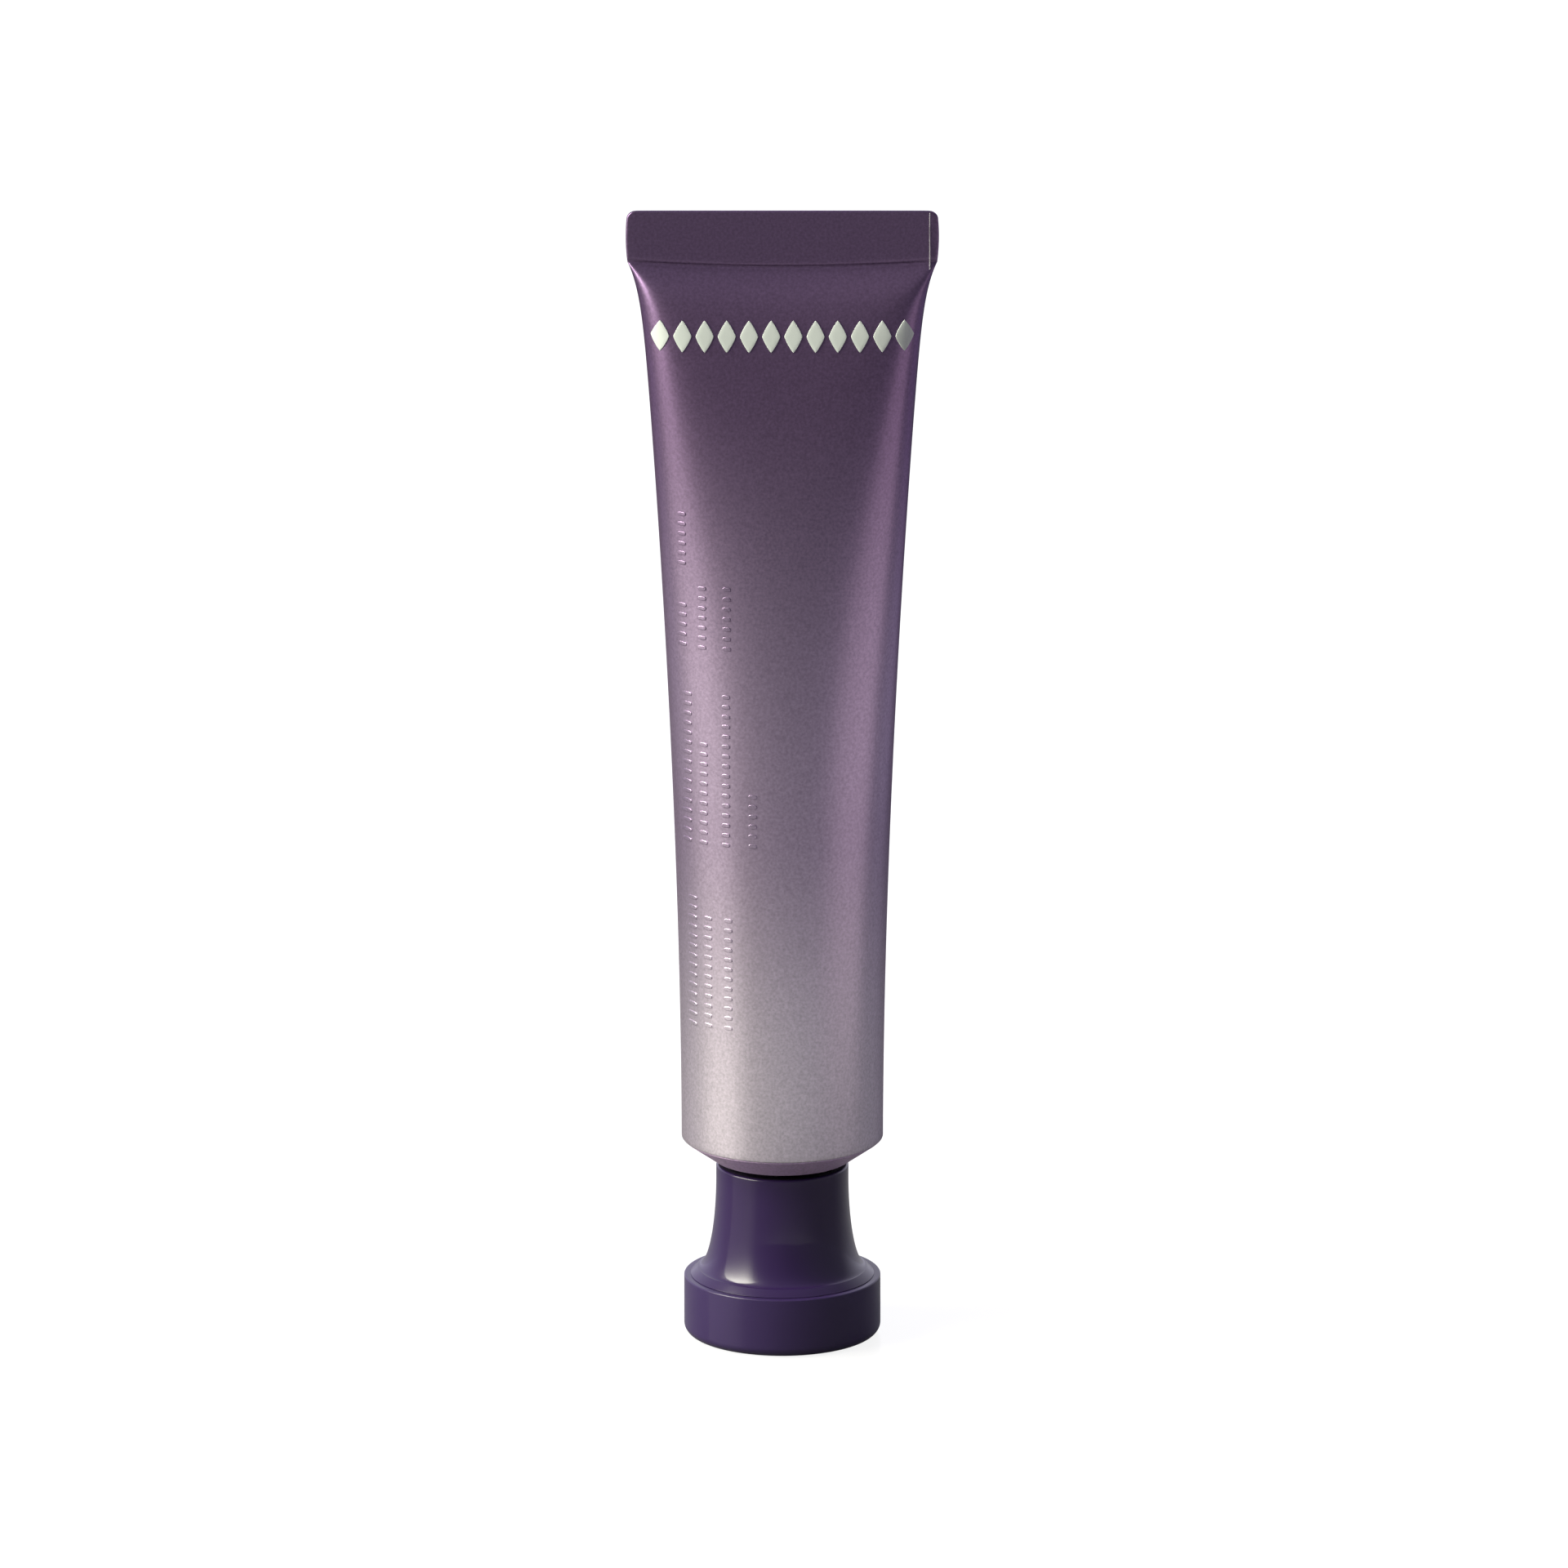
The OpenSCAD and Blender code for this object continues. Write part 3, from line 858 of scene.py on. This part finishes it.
def add_panel_light(name, place, aim, width, height, power, tint):
    """A soft rectangular lamp at a place, turned to face a point that it aims at."""
    data = bpy.data.lights.new(name, "AREA")
    data.shape = "RECTANGLE"
    data.size, data.size_y = width, height
    data.energy = power
    data.color = tint
    lamp = bpy.data.objects.new(name, data)
    bpy.context.scene.collection.objects.link(lamp)
    lamp.location = place
    lamp.rotation_euler = (Vector(aim) - Vector(place)).to_track_quat("-Z", "Y").to_euler()
    return lamp


def shade_panel_light(lamp, across, up):
    """Makes a lamp's light change smoothly over its own width and height, as a soft box's does.

    Each span is a start, an end and the shares of the light at both, and the two are multiplied.
    """
    lamp.data.use_nodes = True
    tree = lamp.data.node_tree
    place = tree.nodes.new("ShaderNodeNewGeometry")
    split = tree.nodes.new("ShaderNodeSeparateXYZ")
    tree.links.new(place.outputs["Parametric"], split.inputs[0])
    both = tree.nodes.new("ShaderNodeMath")
    both.operation = "MULTIPLY"
    for index, (axis, span) in enumerate((("X", across), ("Y", up))):
        share = tree.nodes.new("ShaderNodeMapRange")
        share.interpolation_type = "SMOOTHSTEP"
        for key, value in zip(RANGE_SOCKETS, span):
            share.inputs[key].default_value = value
        tree.links.new(split.outputs[axis], share.inputs["Value"])
        tree.links.new(share.outputs["Result"], both.inputs[index])
    tree.links.new(both.outputs[0], tree.nodes["Emission"].inputs["Strength"])


def add_sheet(name, corners, material):
    """A flat four-sided sheet of the stage."""
    mesh = bpy.data.meshes.new(name)
    mesh.from_pydata(corners, [], [(0, 1, 2, 3)])
    mesh.materials.append(material)
    sheet = bpy.data.objects.new(name, mesh)
    bpy.context.scene.collection.objects.link(sheet)
    return sheet


def light_room(world):
    """Soft light of the room: the strength is the largest of three smooth rises along the axes, and
    the camera itself sees white."""
    world.use_nodes = True
    tree = world.node_tree
    tree.nodes.clear()
    room = tree.nodes.new("ShaderNodeBackground")
    room.inputs["Color"].default_value = ROOM_COLOUR
    direction = tree.nodes.new("ShaderNodeSeparateXYZ")
    tree.links.new(tree.nodes.new("ShaderNodeTexCoord").outputs["Generated"], direction.inputs[0])
    strength = room.inputs["Strength"]
    for axis, start, end, most in ROOM_LIGHT:
        rise = tree.nodes.new("ShaderNodeMapRange")
        rise.interpolation_type = "SMOOTHSTEP"
        for key, value in zip(RANGE_SOCKETS, (start, end, ROOM_LEAST, most)):
            rise.inputs[key].default_value = value
        tree.links.new(direction.outputs[axis], rise.inputs["Value"])
        larger = tree.nodes.new("ShaderNodeMath")
        larger.operation = "MAXIMUM"
        tree.links.new(rise.outputs["Result"], larger.inputs[0])
        tree.links.new(larger.outputs[0], strength)
        strength = larger.inputs[1]
    strength.default_value = 0.0
    white = tree.nodes.new("ShaderNodeBackground")
    white.inputs["Color"].default_value = (1, 1, 1, 1)
    path = tree.nodes.new("ShaderNodeLightPath")
    mix = tree.nodes.new("ShaderNodeMixShader")
    output = tree.nodes.new("ShaderNodeOutputWorld")
    tree.links.new(path.outputs["Is Camera Ray"], mix.inputs["Fac"])
    tree.links.new(room.outputs[0], mix.inputs[1])
    tree.links.new(white.outputs[0], mix.inputs[2])
    tree.links.new(mix.outputs[0], output.inputs["Surface"])


def add_camera():
    """The camera, far off, in front of the tube and above it."""
    data = bpy.data.cameras.new("camera")
    data.sensor_width = SENSOR
    data.lens = SENSOR * CAMERA_DISTANCE / VIEW_WIDTH
    data.clip_end = 20.0
    camera = bpy.data.objects.new("camera", data)
    bpy.context.scene.collection.objects.link(camera)
    back = Vector((0, -math.cos(CAMERA_ELEVATION), math.sin(CAMERA_ELEVATION)))
    camera.location = VIEW_CENTRE + CAMERA_DISTANCE * back
    camera.rotation_euler = (-back).to_track_quat("-Z", "Y").to_euler()
    return camera


class TUBE_OT_stage(Operator):
    """Pale floor, soft lamps, and the camera at the photograph's angle"""
    bl_idname = "cream_tube.stage"
    bl_label = "Stage"

    def execute(self, context):
        scene = context.scene
        left, right, front, back = FLOOR_EDGES
        corners = [(left, front, 0), (right, front, 0), (right, back, 0), (left, back, 0)]
        add_sheet("floor", corners, floor_material(tuple(scene.cream_tube.colours.floor)))
        for *lamp, across, up in LAMPS:
            shade_panel_light(add_panel_light(*lamp), across, up)
        if scene.world is None:
            scene.world = bpy.data.worlds.new("studio")
        light_room(scene.world)
        scene.camera = add_camera()
        scene.view_settings.view_transform = "Standard"
        return {"FINISHED"}


class TUBE_PT_panel(Panel):
    """Lists the pieces in the sidebar"""
    bl_idname = "TUBE_PT_panel"
    bl_label = "Cream Tube"
    bl_space_type = "VIEW_3D"
    bl_region_type = "UI"
    bl_category = "Cream Tube"

    def draw(self, context):
        for operator in OPERATORS:
            self.layout.operator(operator.bl_idname)


GROUPS = (SleeveSizes, HeadSizes, CapSizes, PrintSizes, FinishColours, TubeSettings)
OPERATORS = (TUBE_OT_stage, TUBE_OT_sleeve, TUBE_OT_lozenges, TUBE_OT_beads, TUBE_OT_overlap_edge,
             TUBE_OT_head, TUBE_OT_cap_stem, TUBE_OT_cap_base, TUBE_OT_small_parts)


def register():
    for group in (*GROUPS, *OPERATORS, TUBE_PT_panel):
        bpy.utils.register_class(group)
    bpy.types.Scene.cream_tube = PointerProperty(type=TubeSettings)


def unregister():
    del bpy.types.Scene.cream_tube
    for group in reversed((*GROUPS, *OPERATORS, TUBE_PT_panel)):
        bpy.utils.unregister_class(group)


def main():
    register()
    bpy.ops.cream_tube.stage()
    bpy.ops.cream_tube.sleeve()
    bpy.ops.cream_tube.lozenges()
    bpy.ops.cream_tube.beads()
    bpy.ops.cream_tube.overlap_edge()
    bpy.ops.cream_tube.head()
    bpy.ops.cream_tube.cap_stem()
    bpy.ops.cream_tube.cap_base()
    bpy.ops.cream_tube.small_parts()


if __name__ == "__main__":
    main()
